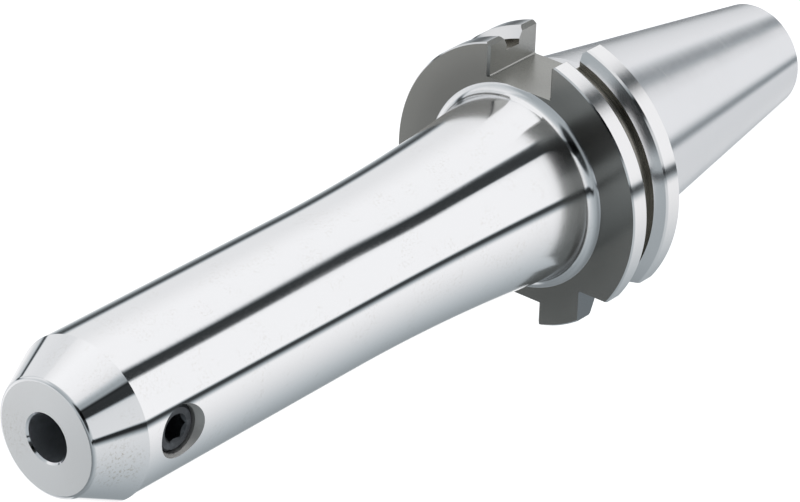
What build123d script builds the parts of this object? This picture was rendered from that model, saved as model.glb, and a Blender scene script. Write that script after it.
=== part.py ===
from build123d import *
import os
from math import hypot, radians, sqrt, tan

# Side lock end mill holder, in millimetres.
# The origin is the centre of the gauge plane, where the steep taper has its gauge diameter.
# +Z runs along the spindle axis to the nose, and the clamp screw faces -Y.

# Steep-taper shank
TAPER_RATE = 7 / 24
GAUGE_D = 44.45
SHANK_LENGTH = 68.4
SHANK_END_CHAMFER = 0.5
PILOT_D = 17.0
PILOT_DEPTH = 8.2
PILOT_CHAMFER = 0.8
STUD_TAP_D = 14.0
STUD_TAP_DEPTH = 34.0
DRILL_POINT_ANGLE = 118.0

# Gripper flange
FLANGE_D = 63.55
FLANGE_REAR_Z = 3.2
FLANGE_FRONT_Z = 19.1
GROOVE_Z = 11.1
GROOVE_DEPTH = 3.65
GROOVE_MOUTH_WIDTH = 7.07
GROOVE_RELIEF_WIDTH = 4.2
GROOVE_ANGLE = 60.0
RIM_CHAMFER = 0.3

# Drive keyways and the orientation notch
KEY_WIDTH = 16.1
KEY_SHALLOW_FLOOR = 22.8
KEY_DEEP_FLOOR = 25.0
KEY_FACE_CHAMFER = 0.5
KEY_RIM_CHAMFER = 1.0
NOTCH_OFFSET = 18.5
NOTCH_CORNER_R = 0.4

# Neck, barrel and nose
NECK_FILLET_R = 2.3
FLARE_R = 570.0
FLARE_END_Z = 84.5
BARREL_D = 34.4
NOSE_Z = 160.0
CONE_LENGTH = 10.0
CONE_TIP_D = 24.6
NOSE_ROUND_R = 1.0

# Cutter bore and coolant drilling
BORE_D = 10.0
BORE_DEPTH = 46.0
BORE_CHAMFER = 0.4
COOLANT_D = 7.0

# Clamp screw and its hole
SCREW_D = 10.0
SCREW_LENGTH = 10.0
SCREW_CLEARANCE = 0.05
SCREW_FROM_NOSE = 19.2
SCREW_RECESS = 2.0
SINK_MOUTH_D = 12.0
SINK_ANGLE = 60.0
SOCKET_AF = 5.0
SOCKET_DEPTH = 5.0
SOCKET_LEAD = 0.35
SCREW_TOP_CHAMFER = 0.7
SCREW_TIP_CHAMFER = 1.5

# Places that follow from the sizes above
FLANGE_R = FLANGE_D / 2
BARREL_R = BARREL_D / 2
SHANK_END_R = (GAUGE_D - SHANK_LENGTH * TAPER_RATE) / 2
SHANK_END_Z = -SHANK_LENGTH
GROOVE_SLOPE = tan(radians(GROOVE_ANGLE / 2))
GROOVE_FLANK_DEPTH = (GROOVE_MOUTH_WIDTH - GROOVE_RELIEF_WIDTH) / 2 / GROOVE_SLOPE
NECK_R = BARREL_R + FLARE_R - sqrt(FLARE_R**2 - (FLARE_END_Z - FLANGE_FRONT_Z) ** 2)
SCREW_Z = NOSE_Z - SCREW_FROM_NOSE
SCREW_TOP_Y = SCREW_RECESS - BARREL_R
OVERCUT = 5.0
TOLERANCE = 0.01


def stock_section():
    """Half section of the turned outside: shank, flange, flared neck, barrel and coned nose."""
    rim, step = FLANGE_R, RIM_CHAMFER
    flank_end, root = rim - GROOVE_FLANK_DEPTH, rim - GROOVE_DEPTH
    groove_low, groove_high = GROOVE_Z - GROOVE_MOUTH_WIDTH / 2, GROOVE_Z + GROOVE_MOUTH_WIDTH / 2
    relief_low, relief_high = GROOVE_Z - GROOVE_RELIEF_WIDTH / 2, GROOVE_Z + GROOVE_RELIEF_WIDTH / 2
    shank_and_flange = [
        (0, SHANK_END_Z),
        (SHANK_END_R, SHANK_END_Z),
        (GAUGE_D / 2, 0),
        (GAUGE_D / 2, FLANGE_REAR_Z),
        (rim - step, FLANGE_REAR_Z),
        (rim, FLANGE_REAR_Z + step),
        (rim, groove_low - step),
        (rim - step, groove_low + step * GROOVE_SLOPE),
        (flank_end, relief_low),
        (root, relief_low),
        (root, relief_high),
        (flank_end, relief_high),
        (rim - step, groove_high - step * GROOVE_SLOPE),
        (rim, groove_high + step),
        (rim, FLANGE_FRONT_Z - step),
        (rim - step, FLANGE_FRONT_Z),
        (NECK_R, FLANGE_FRONT_Z),
    ]
    barrel_and_nose = [
        (BARREL_R, FLARE_END_Z),
        (BARREL_R, NOSE_Z - CONE_LENGTH),
        (CONE_TIP_D / 2, NOSE_Z),
        (0, NOSE_Z),
        (0, SHANK_END_Z),
    ]
    with BuildSketch(Plane.XZ) as section:
        with BuildLine():
            Polyline(*shank_and_flange)
            RadiusArc(shank_and_flange[-1], barrel_and_nose[0], FLARE_R)
            Polyline(*barrel_and_nose)
        make_face()
        for corner, radius in (
            ((NECK_R, FLANGE_FRONT_Z), NECK_FILLET_R),
            ((CONE_TIP_D / 2, NOSE_Z), NOSE_ROUND_R),
        ):
            fillet(section.vertices().sort_by_distance(corner)[0], radius)
        shank_corner = section.vertices().sort_by_distance((SHANK_END_R, SHANK_END_Z))[0]
        chamfer(shank_corner, SHANK_END_CHAMFER)
    return section.sketch


def revolved(points):
    """Solid turned about the spindle axis from a half section given as radius and height."""
    with BuildPart() as turned:
        with BuildSketch(Plane.XZ):
            with BuildLine():
                Polyline(*points, close=True)
            make_face()
        revolve(axis=Axis.Z)
    return turned.part


def cutter_bore():
    """Bore for the cutter's shank, open at the nose with a small lead-in chamfer."""
    radius, floor = BORE_D / 2, NOSE_Z - BORE_DEPTH
    point = (radius - COOLANT_D / 2) / tan(radians(DRILL_POINT_ANGLE / 2))
    return revolved([
        (0, floor - point),
        (COOLANT_D / 2, floor - point),
        (radius, floor),
        (radius, NOSE_Z - BORE_CHAMFER),
        (radius + BORE_CHAMFER + OVERCUT, NOSE_Z + OVERCUT),
        (0, NOSE_Z + OVERCUT),
    ])


def stud_hole():
    """Pull stud's pilot and tapped hole at the small end, with the coolant drilling beyond it."""
    pilot, tap, coolant = PILOT_D / 2, STUD_TAP_D / 2, COOLANT_D / 2
    tap_end = SHANK_END_Z + STUD_TAP_DEPTH
    point = (tap - coolant) / tan(radians(DRILL_POINT_ANGLE / 2))
    return revolved([
        (0, SHANK_END_Z - OVERCUT),
        (pilot + PILOT_CHAMFER + OVERCUT, SHANK_END_Z - OVERCUT),
        (pilot, SHANK_END_Z + PILOT_CHAMFER),
        (pilot, SHANK_END_Z + PILOT_DEPTH),
        (tap, SHANK_END_Z + PILOT_DEPTH),
        (tap, tap_end),
        (coolant, tap_end + point),
        (coolant, NOSE_Z - BORE_DEPTH),
        (0, NOSE_Z - BORE_DEPTH),
    ])


def clamp_hole():
    """Hole from the barrel's side into the bore, with a countersunk mouth."""
    radius = SCREW_D / 2 + SCREW_CLEARANCE
    mouth = SINK_MOUTH_D / 2
    sink = (mouth - radius) / tan(radians(SINK_ANGLE / 2))
    rise = OVERCUT / tan(radians(SINK_ANGLE / 2))
    with BuildPart() as hole:
        with BuildSketch(Plane.YZ):
            with BuildLine():
                Polyline(
                    (0, SCREW_Z),
                    (0, SCREW_Z + radius),
                    (-(BARREL_R - sink), SCREW_Z + radius),
                    (-BARREL_R - rise, SCREW_Z + mouth + OVERCUT),
                    (-BARREL_R - rise, SCREW_Z),
                    close=True,
                )
            make_face()
        revolve(axis=Axis((0, 0, SCREW_Z), (0, 1, 0)))
    return hole.part


def slot_box(x_low, x_high, y_low, y_high, z_low, z_high):
    """Rectangular cutter path, placed by its limits."""
    size = (x_high - x_low, y_high - y_low, z_high - z_low)
    centre = ((x_high + x_low) / 2, (y_high + y_low) / 2, (z_high + z_low) / 2)
    return Pos(*centre) * Box(*size)


def drive_keyways(body):
    """Cut the shallow and the deep keyway through both rims, and break their edges."""
    low, high = FLANGE_REAR_Z - OVERCUT, FLANGE_FRONT_Z + OVERCUT
    far, half = FLANGE_R + OVERCUT, KEY_WIDTH / 2
    body -= slot_box(KEY_SHALLOW_FLOOR, far, -half, half, low, high)
    body -= slot_box(-far, -KEY_DEEP_FLOOR, -half, half, low, high)

    def on_key_wall(edge):
        middle = edge.center()
        return abs(abs(middle.Y) - half) < TOLERANCE and abs(middle.X) > KEY_SHALLOW_FLOOR

    def on_rim(edge):
        middle = edge.center()
        return abs(hypot(middle.X, middle.Y) - FLANGE_R) < TOLERANCE

    def on_front_face(edge):
        return abs(edge.center().Z - FLANGE_FRONT_Z) < TOLERANCE

    body = chamfer(body.edges().filter_by(on_key_wall).filter_by(on_rim), KEY_RIM_CHAMFER)
    return chamfer(body.edges().filter_by(on_key_wall).filter_by(on_front_face), KEY_FACE_CHAMFER)


def orientation_notch():
    """Square-cornered notch beside the deep keyway, with a small radius left by the cutter.

    On the rear rim its cut also takes away the tooth up to the keyway, down to the keyway's floor.
    """
    low, high = FLANGE_REAR_Z - OVERCUT, FLANGE_FRONT_Z + OVERCUT
    far, wall = FLANGE_R + OVERCUT, -NOTCH_OFFSET
    notch = slot_box(-far, wall, -far, wall, low, high)
    corner = notch.edges().filter_by(Axis.Z).sort_by_distance((wall, wall, GROOVE_Z))[0]
    notch = fillet(corner, NOTCH_CORNER_R)
    rear_cut = slot_box(-far, -KEY_DEEP_FLOOR, wall - OVERCUT, -KEY_WIDTH / 2 + OVERCUT, low, GROOVE_Z)
    return notch + rear_cut


def holder_body():
    """The steel body: turned stock with its bores, holes, keyways and notch cut in."""
    body = revolve(stock_section(), axis=Axis.Z)
    body -= [cutter_bore(), stud_hole(), clamp_hole()]
    body = drive_keyways(body)
    return body - orientation_notch()


def clamp_screw():
    """Set screw below the barrel's surface, backed off the bore, with its hexagon socket outwards."""
    radius, axis = SCREW_D / 2, Axis((0, 0, SCREW_Z), (0, 1, 0))
    top, tip = SCREW_TOP_Y, SCREW_TOP_Y + SCREW_LENGTH
    corner = SOCKET_AF / sqrt(3)
    with BuildPart() as screw:
        with BuildSketch(Plane.YZ):
            with BuildLine():
                Polyline(
                    (top, SCREW_Z),
                    (top, SCREW_Z + radius - SCREW_TOP_CHAMFER),
                    (top + SCREW_TOP_CHAMFER, SCREW_Z + radius),
                    (tip - SCREW_TIP_CHAMFER, SCREW_Z + radius),
                    (tip, SCREW_Z + radius - SCREW_TIP_CHAMFER),
                    (tip, SCREW_Z),
                    close=True,
                )
            make_face()
        revolve(axis=axis)
        with BuildSketch(Plane((0, top, SCREW_Z), x_dir=(1, 0, 0), z_dir=(0, 1, 0))):
            RegularPolygon(corner, 6)
        extrude(amount=SOCKET_DEPTH, mode=Mode.SUBTRACT)
        with BuildSketch(Plane.YZ):
            with BuildLine():
                Polyline(
                    (top, SCREW_Z),
                    (top, SCREW_Z + corner + SOCKET_LEAD / 2),
                    (top + corner + SOCKET_LEAD / 2, SCREW_Z),
                    close=True,
                )
            make_face()
        revolve(axis=axis, mode=Mode.SUBTRACT)
    return screw.part


PIECES = {"holder_body": holder_body, "clamp_screw": clamp_screw}

if __name__ == "__main__":
    os.makedirs("parts", exist_ok=True)
    for name, make in PIECES.items():
        export_step(make(), f"parts/{name}.step")
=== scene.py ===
from collections import namedtuple
from math import atan2, cos, degrees, hypot, pi, radians, sin, sqrt, tan

import bmesh
import bpy
import numpy as np
from bpy.props import FloatProperty, FloatVectorProperty, IntProperty, PointerProperty
from mathutils import Matrix, Quaternion, Vector


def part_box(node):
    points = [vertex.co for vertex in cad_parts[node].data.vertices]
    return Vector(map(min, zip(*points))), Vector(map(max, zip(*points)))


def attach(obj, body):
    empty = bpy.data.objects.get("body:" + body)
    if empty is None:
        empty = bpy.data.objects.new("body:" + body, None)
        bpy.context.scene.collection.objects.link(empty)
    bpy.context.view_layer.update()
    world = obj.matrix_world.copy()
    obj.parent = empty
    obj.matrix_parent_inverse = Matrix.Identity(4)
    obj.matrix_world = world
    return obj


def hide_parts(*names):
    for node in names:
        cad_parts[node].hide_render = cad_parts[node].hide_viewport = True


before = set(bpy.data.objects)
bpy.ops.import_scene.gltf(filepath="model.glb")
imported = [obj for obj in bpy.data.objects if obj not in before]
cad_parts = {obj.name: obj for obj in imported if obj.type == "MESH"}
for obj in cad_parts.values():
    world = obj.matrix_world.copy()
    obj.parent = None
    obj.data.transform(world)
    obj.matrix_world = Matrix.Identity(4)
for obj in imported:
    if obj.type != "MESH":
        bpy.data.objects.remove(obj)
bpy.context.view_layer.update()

bl_info = {
    "name": "Side lock end mill holder",
    "version": (1, 0, 0),
    "blender": (4, 5, 0),
    "location": "3D View > Sidebar > Holder",
    "description": "Turns, mills and finishes a side lock end mill holder around its packed frame",
    "category": "Mesh",
}

MM = 0.001
MICRON = 1e-6
BODY_LOW, BODY_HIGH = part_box("holder_body")
SCREW_LOW, SCREW_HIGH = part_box("clamp_screw")
SCREW_AXIS_Z = (SCREW_LOW.z + SCREW_HIGH.z) / 2
SPINDLE_AXIS = Matrix.Identity(4)
CLAMP_AXIS = Matrix.Translation((0, 0, SCREW_AXIS_Z)) @ Matrix.Rotation(radians(90), 4, "X")
# How far a cutter runs past the steel.
OVERCUT = 5 * MM

# Places of the steel body's finishes in its list, and of the screw's only one.
POLISHED, GROUND, TAPER, NOSE, HARDENED, MILLED, BORED, REAMED, ROOT = range(9)
OXIDE = 0
# Where hands left the most stains, on the cone and the nose, and where the fillet's shade is painted.
CONE_SPOT = (-2.5 * MM, -14.3 * MM, BODY_HIGH.z - 4.5 * MM)
NOSE_SPOT = (-2 * MM, 8.5 * MM, BODY_HIGH.z)
FILLET_SHADE_SPOT = (-13.6 * MM, -16.2 * MM, 21.5 * MM)

Run = namedtuple("Run", "start end centre steps finish")
Turning = namedtuple("Turning", "axis runs")
Seam = namedtuple(
    "Seam", "course low_start low_end high_start high_end depth bend power", defaults=(0, 1)
)


def length(name, description, millimetres):
    """A size in metres, given in millimetres."""
    return FloatProperty(
        name=name, description=description, default=millimetres * MM, unit="LENGTH", precision=5
    )


def angle(name, description, value):
    """An angle, given in degrees."""
    return FloatProperty(name=name, description=description, default=radians(value), subtype="ANGLE")


def colour(name, description, *linear):
    """A linear colour property."""
    return FloatVectorProperty(
        name=name, description=description, default=linear, subtype="COLOR", min=0, max=1
    )


def facets(name, description, steps, fewest):
    """A number of facets, and the fewest that still make the shape."""
    return IntProperty(name=name, description=description, default=steps, min=fewest)


class HolderSizes(bpy.types.PropertyGroup):
    """Sizes of the steel body."""

    taper_rate: FloatProperty(
        name="Taper rate", description="Loss of diameter along the shank", default=7 / 24
    )
    gauge_d: length("Gauge diameter", "Taper's large end, at the gauge plane", 44.45)
    shank_chamfer: length("Shank chamfer", "Edge break at the small end", 0.5)
    pilot_d: length("Pilot diameter", "Counterbore that centres the pull stud", 17)
    pilot_depth: length("Pilot depth", "Depth of that counterbore", 8.2)
    pilot_chamfer: length("Pilot chamfer", "Lead-in of that counterbore", 0.8)
    tap_d: length("Tap drill diameter", "Crests of the pull stud thread", 14)
    tap_depth: length("Thread depth", "Tapped hole from the small end", 34)
    stud_pitch: length("Stud pitch", "Rise of the stud thread in a turn", 2)
    stud_d: length("Stud diameter", "Bottom of the stud thread", 16)
    stud_runout: length("Thread run-out", "Plain end of the tapped hole", 5)
    coolant_d: length("Coolant diameter", "Drilling from the thread to the bore", 7)
    flange_d: length("Flange diameter", "Outside of both rims", 63.55)
    flange_rear: length("Rear face", "Height over the gauge plane", 3.2)
    flange_front: length("Front face", "Height over the gauge plane", 19.1)
    groove_z: length("Groove height", "Middle of the gripper groove", 11.1)
    groove_depth: length("Groove depth", "Depth below the rims", 3.65)
    groove_mouth: length("Groove mouth", "Width at the rims", 7.07)
    groove_relief: length("Groove relief", "Width of the square relief at the root", 4.2)
    groove_angle: angle("Groove angle", "Angle between the groove's flanks", 60)
    rim_chamfer: length("Rim chamfer", "Edge break on both rims", 0.3)
    key_width: length("Keyway width", "Width of both drive keyways", 16.1)
    key_shallow: length("Shallow floor", "Spindle axis to the shallow keyway", 22.8)
    key_deep: length("Deep floor", "Spindle axis to the deep keyway", 25)
    key_face_chamfer: length("Keyway front chamfer", "Edge break at the front face", 0.5)
    key_rim_chamfer: length("Keyway rim chamfer", "Edge break at the rims", 1)
    key_corner: length("Keyway corner", "Cutter's radius beside the floor", 0.4)
    notch_offset: length("Notch offset", "Spindle axis to both walls", 18.5)
    notch_corner: length("Notch corner", "Cutter's radius between the walls", 0.4)
    neck_fillet: length("Neck fillet", "Radius at the foot of the neck", 2.3)
    flare_r: length("Flare radius", "Long hollow curve of the neck", 570)
    flare_end: length("Flare end", "Height where the neck becomes the barrel", 84.5)
    barrel_d: length("Barrel diameter", "Straight part behind the nose cone", 34.4)
    cone_length: length("Cone length", "Height of the nose cone", 10)
    cone_tip_d: length("Cone tip diameter", "Small end of the nose cone", 24.6)
    nose_round: length("Nose round", "Radius between cone and nose face", 1)
    bore_d: length("Bore diameter", "Bore for the cutter's shank", 10)
    bore_depth: length("Bore depth", "Depth from the nose", 46)
    bore_chamfer: length("Bore chamfer", "Lead-in of the bore", 0.4)
    drill_angle: angle("Drill point", "Point angle of the drilled steps", 118)
    clamp_hole_d: length("Clamp hole diameter", "Hole that the screw runs in", 10.1)
    sink_d: length("Countersink diameter", "Mouth of the clamp hole", 12)
    sink_angle: angle("Countersink angle", "Full angle of that mouth", 60)
    round_steps: facets("Round steps", "Facets round the spindle axis", 288, 48)
    arc_steps: facets("Arc steps", "Facets along a small radius", 12, 3)


class ScrewSizes(bpy.types.PropertyGroup):
    """Sizes of the clamp screw."""

    diameter: length("Screw diameter", "Crest of the screw thread", 10)
    root_d: length("Screw root diameter", "Bottom of the screw thread", 8.3)
    pitch: length("Screw pitch", "Rise of the screw thread in a turn", 1.5)
    top_chamfer: length("Top chamfer", "Edge break round the socket end", 0.7)
    tip_chamfer: length("Tip chamfer", "Edge break round the clamping end", 1.5)
    socket_af: length("Socket across flats", "Width of the hexagon socket", 5)
    socket_depth: length("Socket depth", "Depth of the hexagon socket", 5)
    socket_lead: length("Socket lead", "Countersink past the hexagon's corners", 0.35)
    round_steps: facets("Round steps", "Facets round the screw", 96, 24)


class FinishColours(bpy.types.PropertyGroup):
    """Colours of the steel's finishes."""

    polished: colour("Polished steel", "Barrel, neck and nose cone", 0.93, 0.935, 0.95)
    ground: colour("Ground steel", "Rims and groove flanks", 0.92, 0.92, 0.93)
    # The nose face's tint is raised above the rims' as painted light on the face that looks up.
    nose: colour("Ground nose", "Nose face", 0.975, 0.975, 0.98)
    taper: colour("Ground taper", "Shank taper", 0.86, 0.87, 0.895)
    hardened: colour("Hardened skin", "Faces of the flange and small end", 0.325, 0.319, 0.30)
    milled: colour("Milled skin", "Drive keyways", 0.50, 0.503, 0.485)
    # Painted shade: a darker, bluer tint on the notch walls than on the keyways' milled skin.
    notch: colour("Notch shade", "Walls of the orientation notch", 0.212, 0.236, 0.252)
    bored: colour("Bored steel", "Clamp hole, stud hole and drilling", 0.71, 0.705, 0.69)
    reamed: colour("Reamed steel", "Cutter bore", 0.85, 0.87, 0.90)
    scale: colour("Scale", "Oily hardening scale in the groove's relief", 0.38, 0.365, 0.33)
    stain: colour("Stain", "Brown specks left by handling", 0.56, 0.51, 0.42)
    # Painted shade in the neck's fillet, standing in for the flange face's dark reflection.
    film: colour("Oil film", "Painted shade in the neck's fillet", 0.17, 0.15, 0.135)
    oxide: colour("Black oxide", "Clamp screw", 0.09, 0.097, 0.106)


class StudioSettings(bpy.types.PropertyGroup):
    """Camera, tent and floor."""

    lens: FloatProperty(
        name="Lens", description="Focal length in millimetres on a 36 mm frame", default=181.93
    )
    distance: length("Distance", "Camera to the point it looks at", 826.55)
    aim: FloatVectorProperty(
        name="Aim", description="The point that the camera looks at", subtype="TRANSLATION",
        unit="LENGTH", precision=5, default=(-0.527 * MM, -0.452 * MM, 57.061 * MM),
    )
    azimuth: angle("Azimuth", "Turn of the view about the spindle axis", 40.62)
    elevation: angle("Elevation", "Height of the view over the flange", 43.30)
    roll: angle("Roll", "Turn of the camera about its view", -118.50)
    tent_white: colour("Tent white", "Lit cloth that the steel mirrors", 0.945, 0.945, 0.95)
    tent_shade: colour("Tent shade", "Cloth on the tent's shaded side", 0.86, 0.95, 1)
    gap_heading: angle("Gap heading", "Heading of the tent's dark gap above the lens", 314)
    gap_height: angle("Gap height", "Height of the gap's middle over the horizon", 50)
    gap_half_width: angle("Gap half width", "Half the gap's width", 21)
    gap_half_height: angle("Gap half height", "Half the gap's height", 36)
    floor_grey: colour("Floor", "Pale floor", 0.92, 0.92, 0.92)


class Outline:
    """A closed half outline, drawn as runs of radius and height with the steel on its left."""

    def __init__(self, radius, height):
        self.first = self.here = (radius, height)
        self.runs = []

    def arc(self, end, centre, finish, steps):
        """A run to a point, round a centre if there is one."""
        self.runs.append(Run(self.here, end, centre, steps, finish))
        self.here = end

    def lines(self, finish, *points):
        """Straight runs from point to point."""
        for point in points:
            self.arc(point, None, finish, 1)

    def close(self, finish):
        """A straight run back to the first point; returns all runs."""
        self.lines(finish, self.first)
        return self.runs


def run_points(run):
    """Points along a run, without its last one."""
    (r0, z0), (r1, z1) = run.start, run.end
    for step in range(run.steps):
        share = step / run.steps
        if run.centre is None:
            yield r0 + (r1 - r0) * share, z0 + (z1 - z0) * share
            continue
        cr, cz = run.centre
        begin, finish = atan2(z0 - cz, r0 - cr), atan2(z1 - cz, r1 - cr)
        turn = begin + share * ((finish - begin + pi) % (2 * pi) - pi)
        reach = hypot(r0 - cr, z0 - cz)
        yield cr + reach * cos(turn), cz + reach * sin(turn)


def flange_runs(outline, s):
    """Rear face, both rims with their chamfers, and the relieved gripper groove between them."""
    rim, root, step = s.flange_d / 2, s.flange_d / 2 - s.groove_depth, s.rim_chamfer
    rear, middle, front = s.flange_rear, s.groove_z, s.flange_front
    slope = tan(s.groove_angle / 2)
    mouth, relief = s.groove_mouth / 2, s.groove_relief / 2
    flank_end = rim - (mouth - relief) / slope
    outline.lines(HARDENED, (rim - step, rear))
    outline.lines(
        GROUND, (rim, rear + step), (rim, middle - mouth - step),
        (rim - step, middle - mouth + step * slope), (flank_end, middle - relief),
    )
    outline.lines(
        ROOT, (root, middle - relief), (root, middle + relief), (flank_end, middle + relief)
    )
    outline.lines(
        GROUND, (rim - step, middle + mouth - step * slope), (rim, middle + mouth + step),
        (rim, front - step), (rim - step, front),
    )


def neck_runs(outline, s):
    """The fillet off the flange and the long hollow flare up to the barrel, tangent to each other."""
    centre_r, centre_z = s.barrel_d / 2 + s.flare_r, s.flare_end
    fillet_z = s.flange_front + s.neck_fillet
    reach = s.flare_r - s.neck_fillet
    fillet_r = centre_r - sqrt(reach**2 - (centre_z - fillet_z) ** 2)
    scale = s.flare_r / reach
    touch = (centre_r + (fillet_r - centre_r) * scale, centre_z + (fillet_z - centre_z) * scale)
    outline.lines(HARDENED, (fillet_r, s.flange_front))
    outline.arc(touch, (fillet_r, fillet_z), POLISHED, s.arc_steps)
    outline.arc((s.barrel_d / 2, s.flare_end), (centre_r, centre_z), POLISHED, 2 * s.arc_steps)


def nose_runs(outline, s):
    """Barrel, cone and the rounded edge of the nose face."""
    top, tip = BODY_HIGH.z, s.cone_tip_d / 2
    slope = atan2(s.cone_length, s.barrel_d / 2 - tip)
    setback = s.nose_round * tan(slope / 2)
    outline.lines(POLISHED, (s.barrel_d / 2, top - s.cone_length),
                  (tip + cos(slope) * setback, top - sin(slope) * setback))
    outline.arc((tip - setback, top), (tip - setback, top - s.nose_round), POLISHED, s.arc_steps)


def hole_runs(outline, s):
    """Cutter bore, coolant drilling, and the stud's thread and pilot, down to the small end."""
    top, low = BODY_HIGH.z, BODY_LOW.z
    bore, coolant, tap, pilot = s.bore_d / 2, s.coolant_d / 2, s.tap_d / 2, s.pilot_d / 2
    drill_rise, thread = 1 / tan(s.drill_angle / 2), s.stud_d / 2
    floor, tap_end = top - s.bore_depth, low + s.tap_depth
    runout = tap_end - s.stud_runout
    outline.lines(NOSE, (bore + s.bore_chamfer, top))
    outline.lines(POLISHED, (bore, top - s.bore_chamfer))
    outline.lines(REAMED, (bore, floor), (coolant, floor - (bore - coolant) * drill_rise))
    outline.lines(
        BORED, (coolant, tap_end + (tap - coolant) * drill_rise), (tap, tap_end), (tap, runout),
        (thread, runout - (thread - tap)), (thread, low + s.pilot_depth),
        (pilot, low + s.pilot_depth), (pilot, low + s.pilot_chamfer), (pilot + s.pilot_chamfer, low),
    )


def holder_outline(s):
    """The whole turned holder: shank, flange, neck, barrel, nose and the holes inside."""
    gauge = s.gauge_d / 2
    small_end = gauge + BODY_LOW.z * s.taper_rate / 2
    outline = Outline(small_end - s.shank_chamfer, BODY_LOW.z)
    chamfer_end = (small_end + s.shank_chamfer * s.taper_rate / 2, BODY_LOW.z + s.shank_chamfer)
    outline.lines(TAPER, chamfer_end, (gauge, 0), (gauge, s.flange_rear))
    flange_runs(outline, s)
    neck_runs(outline, s)
    nose_runs(outline, s)
    hole_runs(outline, s)
    return outline.close(HARDENED)


def clamp_hole_outline(s):
    """Cutter for the clamp hole, from the spindle axis out past the barrel, countersunk."""
    hole, sink, barrel = s.clamp_hole_d / 2, s.sink_d / 2, s.barrel_d / 2
    rate = tan(s.sink_angle / 2)
    outline = Outline(0, 0)
    outline.lines(BORED, (hole, 0), (hole, barrel - (sink - hole) / rate),
                  (sink + OVERCUT * rate, barrel + OVERCUT), (0, barrel + OVERCUT))
    return outline.close(BORED)


def screw_outline(s):
    """Turned blank of the clamp screw; its socket end points away from the spindle axis."""
    top, tip = -SCREW_LOW.y, -SCREW_HIGH.y
    radius, root = s.diameter / 2, s.root_d / 2
    lead = s.socket_af / sqrt(3) + s.socket_lead / 2
    collar = top - s.top_chamfer - s.pitch / 2
    outline = Outline(0, tip)
    outline.lines(
        OXIDE, (radius - s.tip_chamfer, tip), (root, tip + s.tip_chamfer - (radius - root)),
        (root, collar - (radius - root)), (radius, collar), (radius, top - s.top_chamfer),
        (radius - s.top_chamfer, top), (lead, top), (0, top - lead),
    )
    return outline.close(OXIDE)


def put(tree, kind, values=(), **settings):
    """Add a node whose inputs, by name or index, take constants or outputs; returns its outputs."""
    node = tree.nodes.new(kind)
    for name, value in settings.items():
        setattr(node, name, value)
    for key, value in dict(values).items():
        if isinstance(value, bpy.types.NodeSocket):
            tree.links.new(value, node.inputs[key])
        else:
            node.inputs[key].default_value = value
    return node.outputs


def calc(tree, operation, *values):
    """A Math node's output."""
    return put(tree, "ShaderNodeMath", enumerate(values), operation=operation)[0]


def ramp(tree, *values):
    """A smooth Map Range node's output, from value, low, high and the two values to reach."""
    return put(tree, "ShaderNodeMapRange", enumerate(values), interpolation_type="SMOOTHSTEP")[0]


def product(tree, value, *factors):
    """A value times its factors."""
    for factor in factors:
        value = calc(tree, "MULTIPLY", value, factor)
    return value


def hypotenuse(tree, x, y):
    """Distance of the point x, y from the middle."""
    return calc(tree, "SQRT", calc(tree, "ADD", product(tree, x, x), product(tree, y, y)))


def degrees_past(tree, heading, mark):
    """How far a heading is past a mark, from -180 to 180 degrees."""
    return calc(tree, "WRAP", calc(tree, "SUBTRACT", heading, mark), 180, -180)


def profile(tree, height, *points):
    """A value that changes with height, smooth between (height, value) points."""
    (low, value), *rest = points
    total = value
    for high, reached in rest:
        step = ramp(tree, height, low, high, 0, reached - value)
        total = calc(tree, "ADD", total, step)
        low, value = high, reached
    return total


def split(tree, place):
    """The X, Y and Z of a place."""
    return put(tree, "ShaderNodeSeparateXYZ", {0: place})


def apart(tree, place, spot):
    """Distance between a place and a spot."""
    node = put(tree, "ShaderNodeVectorMath", {0: place, 1: spot}, operation="DISTANCE")
    return node["Value"]


def noise(tree, place, scale, detail=2, roughness=0.5):
    """Plain noise at a scale in features per unit."""
    values = {"Vector": place, "Scale": scale, "Detail": detail, "Roughness": roughness}
    return put(tree, "ShaderNodeTexNoise", values)["Fac"]


def blend(tree, factor, *pair):
    """A colour between two, each of them a constant or another node's output."""
    first, second = (
        each if isinstance(each, bpy.types.NodeSocket) else (*each, 1) for each in pair
    )
    return put(
        tree, "ShaderNodeMix", {0: factor, 6: first, 7: second}, data_type="RGBA"
    )[2]


def emptied(block):
    """The node tree of a material or world, with nothing in it."""
    block.use_nodes = True
    block.node_tree.nodes.clear()
    return block.node_tree


def new_group(name, kind, inputs, outputs):
    """An empty node group; returns the tree, what it is given and what it has to give."""
    tree = bpy.data.node_groups.new(name, kind)
    for in_out, sockets in (("INPUT", inputs), ("OUTPUT", outputs)):
        for label, socket in sockets.items():
            tree.interface.new_socket(label, in_out=in_out, socket_type="NodeSocket" + socket)
    given, out = tree.nodes.new("NodeGroupInput"), tree.nodes.new("NodeGroupOutput")
    return tree, given.outputs, out.inputs


def finish_tree(tree, mesh, finish, out):
    """End a geometry tree with real geometry in the given finish."""
    real = put(tree, "GeometryNodeRealizeInstances", {"Geometry": mesh})["Geometry"]
    final = put(tree, "GeometryNodeSetMaterial", {"Geometry": real, "Material": finish})
    tree.links.new(final["Geometry"], out[0])
    return tree


def lathe_tree():
    """Geometry nodes that turn a closed outline round the spindle axis and weld its poles."""
    tree, given, out = new_group(
        "turn_on_lathe", "GeometryNodeTree",
        {"Outline": "Geometry", "Steps": "Int", "Path radius": "Float", "Weld": "Float",
         "Finish": "Material"},
        {"Turned": "Geometry"},
    )
    circle = {"Resolution": given["Steps"], "Radius": given["Path radius"]}
    path = put(tree, "GeometryNodeCurvePrimitiveCircle", circle)["Curve"]
    outline = put(tree, "GeometryNodeMeshToCurve", {"Mesh": given["Outline"]})["Curve"]
    turned = put(tree, "GeometryNodeCurveToMesh", {"Curve": path, "Profile Curve": outline})
    seam = {"Geometry": turned["Mesh"], "Distance": given["Weld"]}
    welded = put(tree, "GeometryNodeMergeByDistance", seam)
    return finish_tree(tree, welded["Geometry"], given["Finish"], out)


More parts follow.
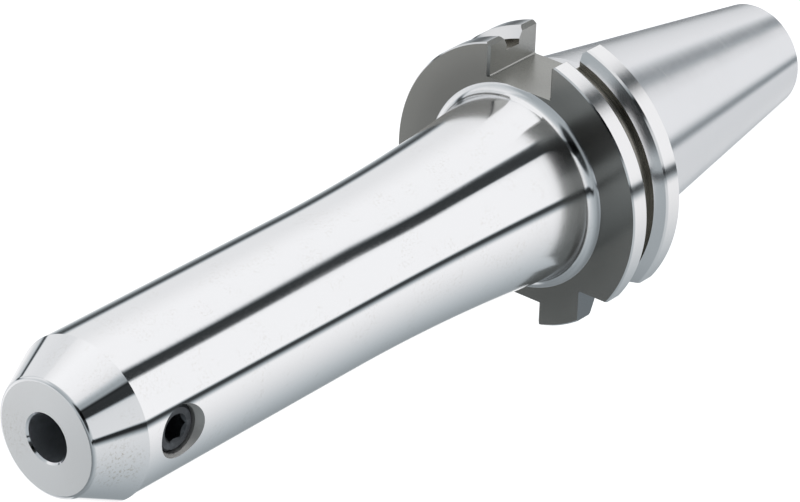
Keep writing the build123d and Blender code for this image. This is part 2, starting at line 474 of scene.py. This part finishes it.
def thread_tree():
    """Geometry nodes that sweep one ridge along a helix round the spindle axis."""
    tree, given, out = new_group(
        "cut_thread", "GeometryNodeTree",
        {"Geometry": "Geometry", "Radius": "Float", "Pitch": "Float", "Turns": "Float",
         "Ridge height": "Float", "Crest width": "Float", "Root width": "Float", "Steps": "Int",
         "Finish": "Material"},
        {"Thread": "Geometry"},
    )
    helix = put(tree, "GeometryNodeCurveSpiral", {
        "Resolution": given["Steps"], "Rotations": given["Turns"],
        "Start Radius": given["Radius"], "End Radius": given["Radius"],
        "Height": product(tree, given["Pitch"], given["Turns"]),
    })["Curve"]
    upright = put(tree, "GeometryNodeSetCurveNormal", {"Curve": helix}, mode="Z_UP")["Curve"]
    ridge = put(tree, "GeometryNodeCurvePrimitiveQuadrilateral", {
        "Bottom Width": given["Root width"], "Top Width": given["Crest width"],
        "Height": given["Ridge height"], "Offset": 0,
    }, mode="TRAPEZOID")["Curve"]
    outward = put(tree, "GeometryNodeTransform", {"Geometry": ridge, "Rotation": (0, 0, -pi / 2)})
    sweep = {"Curve": upright, "Profile Curve": outward["Geometry"], "Fill Caps": True}
    swept = put(tree, "GeometryNodeCurveToMesh", sweep)
    return finish_tree(tree, swept["Mesh"], given["Finish"], out)


def new_object(name, data):
    """An object for a mesh or a camera, linked to the scene."""
    obj = bpy.data.objects.new(name, data)
    bpy.context.scene.collection.objects.link(obj)
    return obj


def freeze(obj):
    """The object's evaluated shape as a plain mesh; the object and its modifiers are removed."""
    shapes = bpy.context.evaluated_depsgraph_get()
    shapes.update()
    mesh = bpy.data.meshes.new_from_object(obj.evaluated_get(shapes), depsgraph=shapes)
    mesh.name = obj.name
    bpy.data.objects.remove(obj)
    return mesh


def run_nodes(obj, tree, values):
    """Run a geometry tree on an object with its inputs set by name; returns a plain mesh."""
    modifier = obj.modifiers.new(tree.name, "NODES")
    modifier.node_group = tree
    for socket in tree.interface.items_tree:
        if socket.in_out == "INPUT" and socket.name in values:
            modifier[socket.identifier] = values[socket.name]
    return freeze(obj)


def face_outwards(mesh):
    """Turn every face of a closed mesh outwards."""
    shape = bmesh.new()
    shape.from_mesh(mesh)
    bmesh.ops.recalc_face_normals(shape, faces=shape.faces)
    shape.to_mesh(mesh)
    shape.free()
    return mesh


def turn(name, turning, steps, finish):
    """Turn an outline with the lathe tree and stand it on its axis; returns the mesh."""
    weld = 1e-7
    tree = bpy.data.node_groups.get("turn_on_lathe") or lathe_tree()
    path_radius = max(run.start[0] for run in turning.runs)
    points = [point for run in turning.runs for point in run_points(run)]
    around = [(index, (index + 1) % len(points)) for index in range(len(points))]
    mesh = bpy.data.meshes.new(name)
    mesh.from_pydata([(radius - path_radius, -height, 0) for radius, height in points], around, [])
    values = {"Steps": steps, "Path radius": path_radius, "Weld": weld, "Finish": finish}
    turned = run_nodes(new_object(name, mesh), tree, values)
    turned.transform(turning.axis)
    return face_outwards(turned)


def prism(name, points, low, high, order="XYZ"):
    """A closed cutter: a polygon drawn in the first two axes of order, drawn out along the third."""
    places, count = [order.index(axis) for axis in "XYZ"], len(points)
    corners = [(u, v, level) for level in (low, high) for u, v in points]
    follow = [(index + 1) % count for index in range(count)]
    walls = [(index, after, after + count, index + count) for index, after in enumerate(follow)]
    ends = [range(count), range(count, 2 * count)]
    mesh = bpy.data.meshes.new(name)
    mesh.from_pydata([[corner[place] for place in places] for corner in corners], [], ends + walls)
    return face_outwards(mesh)


def cut(mesh, cutters):
    """Take the cutters away from a mesh, one after the other; returns the machined mesh."""
    blank = new_object(mesh.name, mesh)
    tools = [new_object(cutter.name, cutter) for cutter in cutters]
    for tool in tools:
        modifier = blank.modifiers.new(tool.name, "BOOLEAN")
        modifier.operation = "DIFFERENCE"
        modifier.solver = "EXACT"
        modifier.object = tool
    machined = freeze(blank)
    for tool in tools:
        bpy.data.objects.remove(tool)
    return machined


def corner_arc(x, y, radius, start, end, steps):
    """Points along an arc, both ends included."""
    turns = [start + (end - start) * step / steps for step in range(steps + 1)]
    return [(x + radius * cos(turn), y + radius * sin(turn)) for turn in turns]


def keyway_cutters(name, s, floor, side):
    """A drive keyway's cutter on one side, chamfered at the rims, and its front face chamfer."""
    half, rim, far = s.key_width / 2, s.flange_d / 2, s.flange_d / 2 + OVERCUT
    low, high = s.flange_rear - OVERCUT, s.flange_front + OVERCUT
    wall_end = sqrt(rim**2 - half**2)
    chamfer, radius = s.key_rim_chamfer, s.key_corner
    inner = Vector((wall_end - chamfer, half))
    outer = Vector((wall_end - chamfer * half / rim, half + chamfer * wall_end / rim))
    along = (outer - inner).normalized() * 2 * OVERCUT
    corner = corner_arc(floor + radius, half - radius, radius, pi, pi / 2, s.arc_steps)
    across = [*corner, tuple(inner), tuple(inner + along)]
    slot = [(side * x, y) for x, y in across] + [(side * x, -y) for x, y in reversed(across)]
    bevel_z, spread = s.flange_front - s.key_face_chamfer, s.key_face_chamfer + OVERCUT
    bevel = [(half, bevel_z), (half + spread, high), (-half - spread, high), (-half, bevel_z)]
    ends = sorted((side * floor, side * far))
    return [prism(name, slot, low, high), prism(name + "_chamfer", bevel, *ends, order="YZX")]


def notch_cutters(s):
    """The orientation notch with its corner radius, and the cut that clears the rear rim's tooth."""
    wall, radius, far = s.notch_offset, s.notch_corner, s.flange_d / 2 + OVERCUT
    low, high = s.flange_rear - OVERCUT, s.flange_front + OVERCUT
    centre = wall + radius
    corner = corner_arc(centre, centre, radius, pi, 1.5 * pi, s.arc_steps)
    notch = [(-x, -y) for x, y in [(wall, far), *corner, (far, wall), (far, far)]]
    beside, key = -wall - OVERCUT, -s.key_width / 2 + OVERCUT
    tooth = [(-far, beside), (-s.key_deep, beside), (-s.key_deep, key), (-far, key)]
    return [prism("notch", notch, low, high), prism("rear_tooth", tooth, low, s.groove_z)]


def run_fit(run, radius, height):
    """How far points lie off a run, and the run's normal there, in radius and height."""
    (r0, z0), (r1, z1) = run.start, run.end
    reach = hypot(r1 - r0, z1 - z0)
    along = ((radius - r0) * (r1 - r0) + (height - z0) * (z1 - z0)) / reach
    beyond = np.maximum(np.maximum(-along, along - reach), 0)
    across_r, across_z = (z1 - z0) / reach, (r0 - r1) / reach
    if run.centre is None:
        off = np.abs((radius - r0) * across_r + (height - z0) * across_z)
        return np.hypot(off, beyond), np.full_like(radius, across_r), np.full_like(radius, across_z)
    from_r, from_z = radius - run.centre[0], height - run.centre[1]
    size = np.hypot(from_r, from_z)
    off = np.abs(size - hypot(r0 - run.centre[0], z0 - run.centre[1]))
    turn = np.sign(from_r * across_r + from_z * across_z)
    return np.hypot(off, beyond), turn * from_r / size, turn * from_z / size


def true_surfaces(mesh, turnings, materials):
    """Give turned faces the finish and exact normals of their run; other edges stay crisp."""
    near, aligned, tiny, crisp = 0.02 * MM, 0.97, 1e-9, radians(25)
    mesh.shade_smooth()
    mesh.set_sharp_from_angle(angle=crisp)
    faces = mesh.polygons
    finish, centre, normal = (np.array([getattr(face, name) for face in faces])
                              for name in ("material_index", "center", "normal"))
    face_of_loop = np.array([face.index for face in faces for _ in face.loop_indices])
    corner = np.array([mesh.vertices[loop.vertex_index].co for loop in mesh.loops])
    loop_normal = np.array([corner_normal.vector for corner_normal in mesh.corner_normals])
    best = np.full(len(centre), near)
    for axis, runs in turnings:
        to_local, origin = np.array(axis.to_3x3()), np.array(axis.translation)
        local, local_normal = (centre - origin) @ to_local, normal @ to_local
        at = (corner - origin) @ to_local
        radius = np.hypot(local[:, 0], local[:, 1])
        radial = (local[:, :2] * local_normal[:, :2]).sum(1) / np.maximum(radius, near)
        at_radius = np.maximum(np.hypot(at[:, 0], at[:, 1]), tiny)
        for run in runs:
            off, nr, nz = run_fit(run, radius, local[:, 2])
            facing = radial * nr + local_normal[:, 2] * nz
            mine = (off < best) & (np.abs(facing) > aligned)
            best[mine] = off[mine]
            finish[mine] = run.finish
            loops = mine[face_of_loop]
            side = np.sign(facing)[face_of_loop][loops, None]
            (x, y, z), reach = at[loops].T, at_radius[loops]
            _, nr, nz = run_fit(run, reach, z)
            true = np.column_stack([x / reach * nr, y / reach * nr, nz])
            loop_normal[loops] = (true * side) @ to_local.T
    mesh.materials.clear()
    for material in materials:
        mesh.materials.append(material)
    faces.foreach_set("material_index", finish.astype(np.int32))
    mesh.normals_split_custom_set(loop_normal.tolist())
    return mesh


def grinding_group():
    """Fine lines that run round the spindle axis, as left by a turning tool or grinding wheel."""
    line_share, soft_share, soft_scale = 0.6, 0.4, 60
    tree, given, out = new_group(
        "grinding_lines", "ShaderNodeTree",
        {"Position": "Vector", "Fineness": "Float", "Length": "Float"},
        {"Height": "Float", "Tone": "Float"},
    )
    x, y, z = split(tree, given["Position"])
    across = product(tree, calc(tree, "ADD", z, hypotenuse(tree, x, y)), given["Fineness"])
    around = [product(tree, axis, given["Length"]) for axis in (x, y)]
    place = put(tree, "ShaderNodeCombineXYZ", enumerate((*around, across)))[0]
    lines = noise(tree, place, 1, 3, 0.65)
    soft = product(tree, noise(tree, given["Position"], soft_scale), soft_share)
    tree.links.new(lines, out["Height"])
    tree.links.new(calc(tree, "MULTIPLY_ADD", lines, line_share, soft), out["Tone"])
    return tree


def speck_group():
    """Small soft stains, as handling leaves on bright steel, most of them within reach of a spot."""
    elsewhere, spot_core, patch_scale = 0.25, 0.3, 0.12
    tree, given, out = new_group(
        "oil_specks", "ShaderNodeTree",
        {"Position": "Vector", "Size": "Float", "Cover": "Float", "Spot": "Vector",
         "Reach": "Float"},
        {"Mask": "Float"},
    )
    scale = calc(tree, "DIVIDE", 1, given["Size"])
    fine = noise(tree, given["Position"], scale, 4, 0.6)
    wide = noise(tree, given["Position"], product(tree, scale, patch_scale), 1)
    grain = ramp(tree, fine, 0.48, 0.74, 0, 1)
    patch = ramp(tree, wide, 0.50, 0.62, 0, elsewhere)
    core = product(tree, given["Reach"], spot_core)
    away = apart(tree, given["Position"], given["Spot"])
    handled = calc(tree, "ADD", patch, ramp(tree, away, core, given["Reach"], 1, 0))
    tree.links.new(product(tree, grain, handled, given["Cover"]), out["Mask"])
    return tree


class Metal:
    """A metal finish: a Principled shader with position, bump and helpers ready."""

    def __init__(self, name, brushed=0, **constants):
        self.material = bpy.data.materials.new(name)
        self.material.use_nodes = True
        self.tree = self.material.node_tree
        self.shader = self.tree.nodes["Principled BSDF"]
        self.position = put(self.tree, "ShaderNodeTexCoord")["Object"]
        self.x, self.y, self.z = split(self.tree, self.position)
        fixed = {"Metallic": 1, **constants}
        if brushed:
            fixed.update(Anisotropic=brushed, Anisotropic_Rotation=0.25)
            round_axis = put(self.tree, "ShaderNodeTangent", direction_type="RADIAL", axis="Z")
            self.tree.links.new(round_axis["Tangent"], self.shader.inputs["Tangent"])
        for socket, value in fixed.items():
            self.shader.inputs[socket.replace("_", " ")].default_value = value

    def group(self, tree, **values):
        """Place a shared effect on this finish's position."""
        values["Position"] = self.position
        return put(self.tree, "ShaderNodeGroup", values, node_tree=tree)

    def noise(self, scale, detail=2):
        """Plain noise at a scale in features per metre."""
        return noise(self.tree, self.position, scale, detail)

    def toned(self, tone, tint, darker, lighter):
        """A tint made darker and lighter by a tone from 0 to 1."""
        return blend(self.tree, tone, shade(tint, 1 - darker), shade(tint, 1 + lighter))

    def bump(self, height, depth, **under):
        """A bump whose height is a depth in metres, over another bump's Normal if given."""
        values = {"Height": height, "Distance": depth, "Strength": 1, **under}
        return put(self.tree, "ShaderNodeBump", values)["Normal"]

    def rough(self, tone, low, high):
        """A roughness that goes from low to high with a tone."""
        dark, light = 0.3, 0.7
        return ramp(self.tree, tone, dark, light, low, high)

    def done(self, **sockets):
        """Link what varies to the shader and return the material."""
        for name, output in sockets.items():
            self.tree.links.new(output, self.shader.inputs[name.replace("_", " ")])
        return self.material


def shade(tint, factor):
    """A colour made darker or lighter by a factor."""
    return tuple(channel * factor for channel in tint)


def fillet_shade_mask(metal):
    """Painted shade: a dark patch in the neck's fillet on one side, standing in for the flange face's
    dark reflection.
    """
    densest = 0.85
    above = ramp(metal.tree, metal.z, 20 * MM, 20.9 * MM, 0, 1)
    below = ramp(metal.tree, metal.z, 22.8 * MM, 24.8 * MM, 1, 0)
    away = apart(metal.tree, metal.position, FILLET_SHADE_SPOT)
    near = ramp(metal.tree, away, 5 * MM, 17 * MM, densest, 0)
    return product(metal.tree, above, below, near)


def polished_finish(colours, grinding, specks):
    """Mirror-bright barrel, neck and cone: faint ripple, faint lines and a few oil specks."""
    metal = Metal("polished_steel", brushed=1)
    lines = metal.group(grinding, Fineness=9000, Length=30)
    stain = metal.group(specks, Size=0.6 * MM, Cover=0.65, Spot=CONE_SPOT, Reach=6.5 * MM)["Mask"]
    ripple = metal.bump(metal.noise(900), 0.4 * MICRON)
    handled = ramp(metal.tree, metal.z, 22 * MM, 50 * MM, 0.045, 0)
    specked = blend(metal.tree, stain, colours.polished, colours.stain)
    return metal.done(
        # Painted shade in the fillet goes over the speckled steel.
        Base_Color=blend(metal.tree, fillet_shade_mask(metal), specked, colours.film),
        Normal=metal.bump(lines["Height"], 0.3 * MICRON, Normal=ripple),
        Roughness=calc(metal.tree, "ADD", metal.rough(lines["Tone"], 0.055, 0.085), handled),
    )


def ground_finish(name, tint, stain_tint, grinding, specks, rough, contrast, cover,
                  depth=1 * MICRON, brushed=0.85):
    """Satin ground steel: lines round the axis in height, tone and roughness, and a few specks."""
    metal = Metal(name, brushed=brushed)
    lines = metal.group(grinding, Fineness=6000, Length=45)
    stain = metal.group(specks, Size=0.5 * MM, Cover=cover, Spot=NOSE_SPOT, Reach=7 * MM)["Mask"]
    toned = metal.toned(lines["Tone"], tint, contrast, contrast / 2)
    return metal.done(
        Base_Color=blend(metal.tree, stain, toned, stain_tint),
        Normal=metal.bump(lines["Height"], depth),
        Roughness=metal.rough(lines["Tone"], *rough),
    )


def hardened_finish(name, tint, rough, contrast, metallic=1, neck_shade=0, notch=None):
    """Dull skin left by hardening, mottled, with painted shade: darker toward the neck, lighter at
    the rims, and darker, bluer on the notch walls.
    """
    metal = Metal(name, Metallic=metallic, Specular_Tint=(0.4, 0.4, 0.4, 1))
    mottle = ramp(metal.tree, metal.noise(90, 4), 0.35, 0.65, 0, 1)
    grain = metal.noise(5200)
    from_axis = hypotenuse(metal.tree, metal.x, metal.y)
    # Painted shade: the skin gets darker toward the neck and lighter out at the rims.
    rim = ramp(metal.tree, from_axis, 24 * MM, 32 * MM, 0, neck_shade)
    tone = calc(metal.tree, "MULTIPLY_ADD", mottle, 1 - neck_shade, rim)
    skin = metal.toned(tone, tint, contrast, contrast)
    # Painted shade on the notch walls: a darker, bluer tint.
    if notch:
        notch_shade_mask = ramp(metal.tree, metal.y, -17 * MM, -12 * MM, 1, 0)
        skin = blend(metal.tree, notch_shade_mask, skin, notch)
    return metal.done(
        Base_Color=skin,
        Normal=metal.bump(grain, 0.5 * MICRON),
        Roughness=metal.rough(grain, *rough),
    )


def bored_finish(name, tint, grinding, rough, contrast):
    """Walls of a hole or of the groove's relief, with the rings that the cutting tool leaves."""
    metal = Metal(name)
    lines = metal.group(grinding, Fineness=5000, Length=60)
    return metal.done(
        Base_Color=metal.toned(lines["Tone"], tint, contrast, contrast / 2),
        Normal=metal.bump(lines["Height"], 2 * MICRON),
        Roughness=metal.rough(lines["Tone"], *rough),
    )


def oxide_finish(colours):
    """Black oxide on the clamp screw, worn a little lighter in patches."""
    most_worn, lighter = 0.5, 2.2
    metal = Metal("black_oxide")
    worn = ramp(metal.tree, metal.noise(700, 3), 0.5, 0.7, 0, most_worn)
    return metal.done(
        Base_Color=blend(metal.tree, worn, colours.oxide, shade(colours.oxide, lighter)),
        Normal=metal.bump(metal.noise(6000), 2 * MICRON),
        Roughness=ramp(metal.tree, worn, 0, most_worn, 0.45, 0.55),
    )


def holder_finishes(colours):
    """The finishes of the steel body, in the order of their places."""
    grinding, specks = grinding_group(), speck_group()
    effects = (colours.stain, grinding, specks)
    return [
        polished_finish(colours, grinding, specks),
        ground_finish("ground_rim", colours.ground, *effects, rough=(0.13, 0.18), contrast=0.04,
                      cover=0.05),
        ground_finish("ground_taper", colours.taper, *effects, rough=(0.2, 0.28), contrast=0.05,
                      cover=0.03),
        # The nose's lighter tint is painted light.
        ground_finish("ground_nose_with_painted_light", colours.nose, *effects, rough=(0.2, 0.24), contrast=0.02,
                      cover=0.35, depth=0.3 * MICRON, brushed=0.3),
        # The flange face gets painted shade, darker toward the neck.
        hardened_finish("hardened_skin", colours.hardened, rough=(0.15, 0.19), contrast=0.13,
                        metallic=0.85, neck_shade=0.8),
        # The notch walls get a painted shade tint.
        hardened_finish("milled_skin", colours.milled, rough=(0.27, 0.33), contrast=0.03,
                        notch=colours.notch),
        bored_finish("bored_steel", colours.bored, grinding, rough=(0.55, 0.65), contrast=0.3),
        bored_finish("reamed_bore", colours.reamed, grinding, rough=(0.33, 0.4), contrast=0.06),
        bored_finish("groove_scale", colours.scale, grinding, rough=(0.2, 0.3), contrast=0.5),
    ]


def thread_ridge(name, axis, root, crest, pitch, low, high, finish):
    """The ridge of a thread between two heights on its axis, let into the wall that carries it."""
    steps_a_turn, crest_share, root_share, buried = 64, 0.14, 0.84, 0.12 * MM
    wall = root - buried if crest > root else root + buried
    turns = (high - low) / pitch
    values = {
        "Radius": (wall + crest) / 2, "Pitch": pitch, "Turns": turns, "Ridge height": crest - wall,
        "Crest width": pitch * crest_share, "Root width": pitch * root_share,
        "Steps": steps_a_turn, "Finish": finish,
    }
    tree = bpy.data.node_groups.get("cut_thread") or thread_tree()
    ridge = run_nodes(new_object(name, bpy.data.meshes.new(name)), tree, values)
    ridge.transform(axis @ Matrix.Translation((0, 0, low)))
    return face_outwards(ridge)


def joined(mesh, finish, extra, extra_finish):
    """Two meshes as one, each part with the index of its finish."""
    shape = bmesh.new()
    for part, index in ((mesh, finish), (extra, extra_finish)):
        part.polygons.foreach_set("material_index", np.full(len(part.polygons), index, np.int32))
        shape.from_mesh(part)
    shape.to_mesh(mesh)
    shape.free()
    return mesh


def ride_as(mesh, name, body, node):
    """A finished piece: an object that rides on its body and stands for its CAD node."""
    piece = new_object(name, mesh)
    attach(piece, body)
    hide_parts(node)
    return piece


def build_floor(s):
    """A pale floor under the small end that takes the holder's shadow."""
    reach, glow_strength = 3, 0.8
    mesh = bpy.data.meshes.new("floor")
    corners = [(-reach, -reach), (reach, -reach), (reach, reach), (-reach, reach)]
    mesh.from_pydata([(x, y, BODY_LOW.z) for x, y in corners], [], [(0, 1, 2, 3)])
    floor = new_object("floor", mesh)
    floor.visible_glossy = False
    material = bpy.data.materials.new("pale_floor")
    tree = emptied(material)
    diffuse = put(tree, "ShaderNodeBsdfDiffuse", {"Color": (*s.floor_grey, 1)})
    seen = put(tree, "ShaderNodeLightPath")["Is Camera Ray"]
    glow = put(tree, "ShaderNodeEmission", {"Strength": product(tree, seen, glow_strength)})
    both = put(tree, "ShaderNodeAddShader", {0: diffuse[0], 1: glow[0]})
    put(tree, "ShaderNodeOutputMaterial", {"Surface": both[0]})
    mesh.materials.append(material)


def seam_group():
    """A dark seam of the light tent: a band of headings, soft on each side by its own amount."""
    full_bend = 60
    labels = [field.capitalize().replace("_", " ") for field in Seam._fields]
    tree, given, out = new_group(
        "tent_seam", "ShaderNodeTree", dict.fromkeys(["Heading", "Height", *labels], "Float"),
        {"Light": "Float"},
    )
    share = calc(tree, "DIVIDE", calc(tree, "ABSOLUTE", given["Height"]), full_bend)
    steepness = calc(tree, "POWER", share, given["Power"])
    course = calc(tree, "MULTIPLY_ADD", given["Bend"], steepness, given["Course"])
    off = degrees_past(tree, given["Heading"], course)
    rise = ramp(tree, off, given["Low start"], given["Low end"], 0, 1)
    fall = ramp(tree, off, given["High start"], given["High end"], 1, 0)
    dark = product(tree, rise, fall, given["Depth"])
    tree.links.new(calc(tree, "SUBTRACT", 1, dark), out["Light"])
    return tree


def tent_seams():
    """The tent's seams and shades, all in degrees, with headings that turn from +X to +Y.

    What changes with the height over the horizon is a row of (height, value) points. A depth
    below zero makes the cloth lighter there.
    """
    right_course = ((-66, 371), (-54, 348.5), (-46, 337.3), (-42, 332), (-39.9, 330),
                    (-37.5, 331), (-34, 331), (12, 315.8))
    shade_course = ((-40, 152.5), (-30, 157), (-22, 160), (15, 162), (42, 131))
    shade_depth = ((-56, 0), (-46, 0.58), (-42, 0.66), (10, 0.66), (40, 0.56))
    return [
        # The dark seam in front.
        Seam(271.3, -11, -1.5, ((-20, 0.5), (5, 1.2)), ((-62, 24), (-48, 4.5)),
             ((-62, 0.68), (-48, 0.95), (5, 0.97)), bend=-21, power=3.8),
        # The dark seam at the front on the right, and the soft shade beside it.
        Seam(right_course,
             ((-62, -30), (-48, -8.3), (-42, -7.9), (-39.9, -8.8), (-37.5, -7), (0, -10.5)),
             ((-62, 0), (-48, -6), (-42, -5.6), (-39.9, -6), (-37.5, -4.6), (0, -6)),
             ((-42, 7.4), (-39.9, 5.6), (-37.5, 7.8), (0, 6)),
             ((-62, 32), (-48, 13.6), (-42, 13.4), (-39.9, 10.6), (-37.5, 12.4), (0, 10.5)),
             ((-62, 0.75), (-48, 0.96), (5, 0.94))),
        Seam(326, -8, -3, 2, 14, ((-25, 0.05), (25, 0.6))),
        # The dark seam at the back, and the soft shade beside it.
        Seam(90, ((-62, -38), (-48, -12.2), (-38, -12.2), (-24, -5.5)),
             ((-56, -5), (-46, -0.6), (-38, -0.6), (-24, -2)),
             ((-38, 1.5), (-24, -0.3)),
             ((-62, 20), (-48, 38), (-41.5, 38), (-28, 6.5), (-20, 5.5)),
             ((5, 0.92), (40, 0.1)), bend=24, power=8),
        Seam(80, -60, -15, ((-38, 5), (-28, 15)), ((-38, 20), (-28, 35)),
             ((-38, 0.14), (-29, 0.24), (-21, 0.34), (-16, 0.14))),
        # The shaded side, on the left, with a low shade and a lighter strip.
        Seam(shade_course, -4, 0.5, 0, 120, shade_depth),
        Seam(198, -45, -20, 25, 60, ((-62, 0.27), (-50, 0))),
        Seam(138, -16, -6, 10, 13, ((-35, -0.11), (-20, 0))),
        # Lighter cloth on the right, level with the holder, and high up at the back.
        Seam(5, -40, -10, 37, 42, ((-5, 0), (6, -0.22), (14, -0.22), (24, 0))),
        Seam(55, -19, -5, 73, 78, ((8, 0), (30, -0.6), (50, -0.6), (58, -0.05))),
    ]


def tent_gap(tree, heading, height, s):
    """The tall dark gap that the lens looks through: near black inside, one outside."""
    inside, outside, darkest = 0.75, 1.15, 0.07
    narrowing = calc(tree, "COSINE", calc(tree, "RADIANS", height))
    aside = product(tree, degrees_past(tree, heading, degrees(s.gap_heading)), narrowing)
    above = calc(tree, "SUBTRACT", height, degrees(s.gap_height))
    across = calc(tree, "DIVIDE", aside, degrees(s.gap_half_width))
    along = calc(tree, "DIVIDE", above, degrees(s.gap_half_height))
    return ramp(tree, hypotenuse(tree, across, along), inside, outside, darkest, 1)


def hang_tent(scene, s):
    """A white light tent with dark seams, a shaded side and a gap at the photograph's viewpoint."""
    scene.world = bpy.data.worlds.new("light_tent")
    tree = emptied(scene.world)
    x, y, z = split(tree, put(tree, "ShaderNodeTexCoord")["Generated"])
    heading = calc(tree, "DEGREES", calc(tree, "ARCTAN2", y, x))
    height = calc(tree, "DEGREES", calc(tree, "ARCSINE", z))
    light = ramp(tree, height, -25, 60, 1, 0.46)
    group = seam_group()
    for seam in tent_seams():
        values = [profile(tree, height, *value) if isinstance(value, tuple) else value
                  for value in seam]
        node = put(tree, "ShaderNodeGroup", enumerate((heading, height, *values)), node_tree=group)
        light = product(tree, light, node["Light"])
    # Overhead and underfoot all headings meet, so the cloth goes over to one even light there.
    upright = ramp(tree, calc(tree, "ABSOLUTE", height), 66, 85, 1, 0)
    even = ramp(tree, height, -10, 10, 0.85, 0.42)
    steady = calc(tree, "MULTIPLY_ADD", calc(tree, "SUBTRACT", light, even), upright, even)
    level = product(tree, steady, tent_gap(tree, heading, height, s))
    cloth = blend(tree, ramp(tree, level, 0.3, 0.95, 0, 1), s.tent_shade, s.tent_white)
    seen = put(tree, "ShaderNodeLightPath")["Is Camera Ray"]
    lit = put(tree, "ShaderNodeBackground", {"Color": cloth, "Strength": level})
    plain = put(tree, "ShaderNodeBackground", {"Color": (1, 1, 1, 1)})
    shown = put(tree, "ShaderNodeMixShader", {0: seen, 1: lit[0], 2: plain[0]})
    put(tree, "ShaderNodeOutputWorld", {"Surface": shown[0]})


def place_camera(scene, s):
    """The photograph's view: turned, raised and rolled about the point that it looks at."""
    data = bpy.data.cameras.new("camera")
    data.lens = s.lens
    level = cos(s.elevation)
    away = Vector((sin(s.azimuth) * level, -cos(s.azimuth) * level, sin(s.elevation)))
    camera = new_object("camera", data)
    camera.location = Vector(s.aim) + away * s.distance
    camera.rotation_mode = "QUATERNION"
    camera.rotation_quaternion = away.to_track_quat("Z", "Y") @ Quaternion((0, 0, 1), s.roll)
    scene.camera = camera


class HOLDER_OT_turn_body(bpy.types.Operator):
    """Turn, bore and mill the steel body and give every face its finish"""

    bl_idname = "holder.turn_body"
    bl_label = "Steel body"

    def execute(self, context):
        s = context.scene.holder_sizes
        finishes = holder_finishes(context.scene.holder_colours)
        turned = Turning(SPINDLE_AXIS, holder_outline(s))
        clamp = Turning(CLAMP_AXIS, clamp_hole_outline(s))
        blank = turn("holder_turned", turned, s.round_steps, finishes[POLISHED])
        cutters = [
            turn("clamp_hole", clamp, s.round_steps // 3, finishes[BORED]),
            *keyway_cutters("shallow_keyway", s, s.key_shallow, 1),
            *keyway_cutters("deep_keyway", s, s.key_deep, -1),
            *notch_cutters(s),
        ]
        low = BODY_LOW.z + s.pilot_depth - s.stud_pitch / 4
        high = BODY_LOW.z + s.tap_depth - s.stud_runout - s.stud_pitch
        thread = thread_ridge("stud_thread", SPINDLE_AXIS, s.stud_d / 2, s.tap_d / 2, s.stud_pitch,
                              low, high, finishes[BORED])
        machined = joined(cut(blank, cutters), MILLED, thread, BORED)
        true_surfaces(machined, [turned, clamp], finishes)
        ride_as(machined, "steel_body", "holder", "holder_body")
        return {"FINISHED"}


class HOLDER_OT_clamp_screw(bpy.types.Operator):
    """Turn the clamp screw, sink its hexagon socket and cut its thread"""

    bl_idname = "holder.clamp_screw"
    bl_label = "Clamp screw"

    def execute(self, context):
        s = context.scene.holder_screw
        finish = oxide_finish(context.scene.holder_colours)
        turned = Turning(CLAMP_AXIS, screw_outline(s))
        blank = turn("screw_turned", turned, s.round_steps, finish)
        corner = s.socket_af / sqrt(3)
        sides = [step * pi / 3 for step in range(6)]
        points = [(SCREW_AXIS_Z + corner * cos(side), corner * sin(side)) for side in sides]
        socket_floor = SCREW_LOW.y + s.socket_depth
        socket = prism("hexagon_socket", points, SCREW_LOW.y - OVERCUT, socket_floor, order="ZXY")
        low = -SCREW_HIGH.y + s.tip_chamfer
        high = -SCREW_LOW.y - s.top_chamfer - s.pitch / 2
        thread = thread_ridge("screw_thread", CLAMP_AXIS, s.root_d / 2, s.diameter / 2, s.pitch,
                              low, high, finish)
        machined = joined(cut(blank, [socket]), OXIDE, thread, OXIDE)
        true_surfaces(machined, [turned], [finish])
        ride_as(machined, "clamp_screw_piece", "screw", "clamp_screw")
        return {"FINISHED"}


class HOLDER_OT_studio(bpy.types.Operator):
    """Stand the floor, hang the light tent and place the camera"""

    bl_idname = "holder.studio"
    bl_label = "Studio"

    def execute(self, context):
        s = context.scene.holder_studio
        build_floor(s)
        hang_tent(context.scene, s)
        place_camera(context.scene, s)
        context.scene.view_settings.view_transform = "Standard"
        return {"FINISHED"}


class HOLDER_PT_sidebar(bpy.types.Panel):
    """Lists the holder's operators and settings"""

    bl_label = "End mill holder"
    bl_idname = "HOLDER_PT_sidebar"
    bl_space_type = "VIEW_3D"
    bl_region_type = "UI"
    bl_category = "Holder"

    def draw(self, context):
        for operator in OPERATORS:
            self.layout.operator(operator.bl_idname)
        for name in SETTINGS:
            group = getattr(context.scene, name)
            box = self.layout.box()
            for setting in group.bl_rna.properties:
                if setting.identifier not in {"rna_type", "name"}:
                    box.prop(group, setting.identifier)


OPERATORS = (HOLDER_OT_turn_body, HOLDER_OT_clamp_screw, HOLDER_OT_studio)
SETTINGS = {
    "holder_sizes": HolderSizes,
    "holder_screw": ScrewSizes,
    "holder_colours": FinishColours,
    "holder_studio": StudioSettings,
}


def register():
    """Register the settings, the operators and the panel."""
    for name, group in SETTINGS.items():
        bpy.utils.register_class(group)
        setattr(bpy.types.Scene, name, PointerProperty(type=group))
    for item in (*OPERATORS, HOLDER_PT_sidebar):
        bpy.utils.register_class(item)


def unregister():
    """Undo register."""
    for item in (HOLDER_PT_sidebar, *reversed(OPERATORS)):
        bpy.utils.unregister_class(item)
    for name, group in reversed(SETTINGS.items()):
        delattr(bpy.types.Scene, name)
        bpy.utils.unregister_class(group)


def main():
    """Build the holder and its studio."""
    register()
    bpy.ops.holder.turn_body()
    bpy.ops.holder.clamp_screw()
    bpy.ops.holder.studio()


if __name__ == "__main__":
    main()
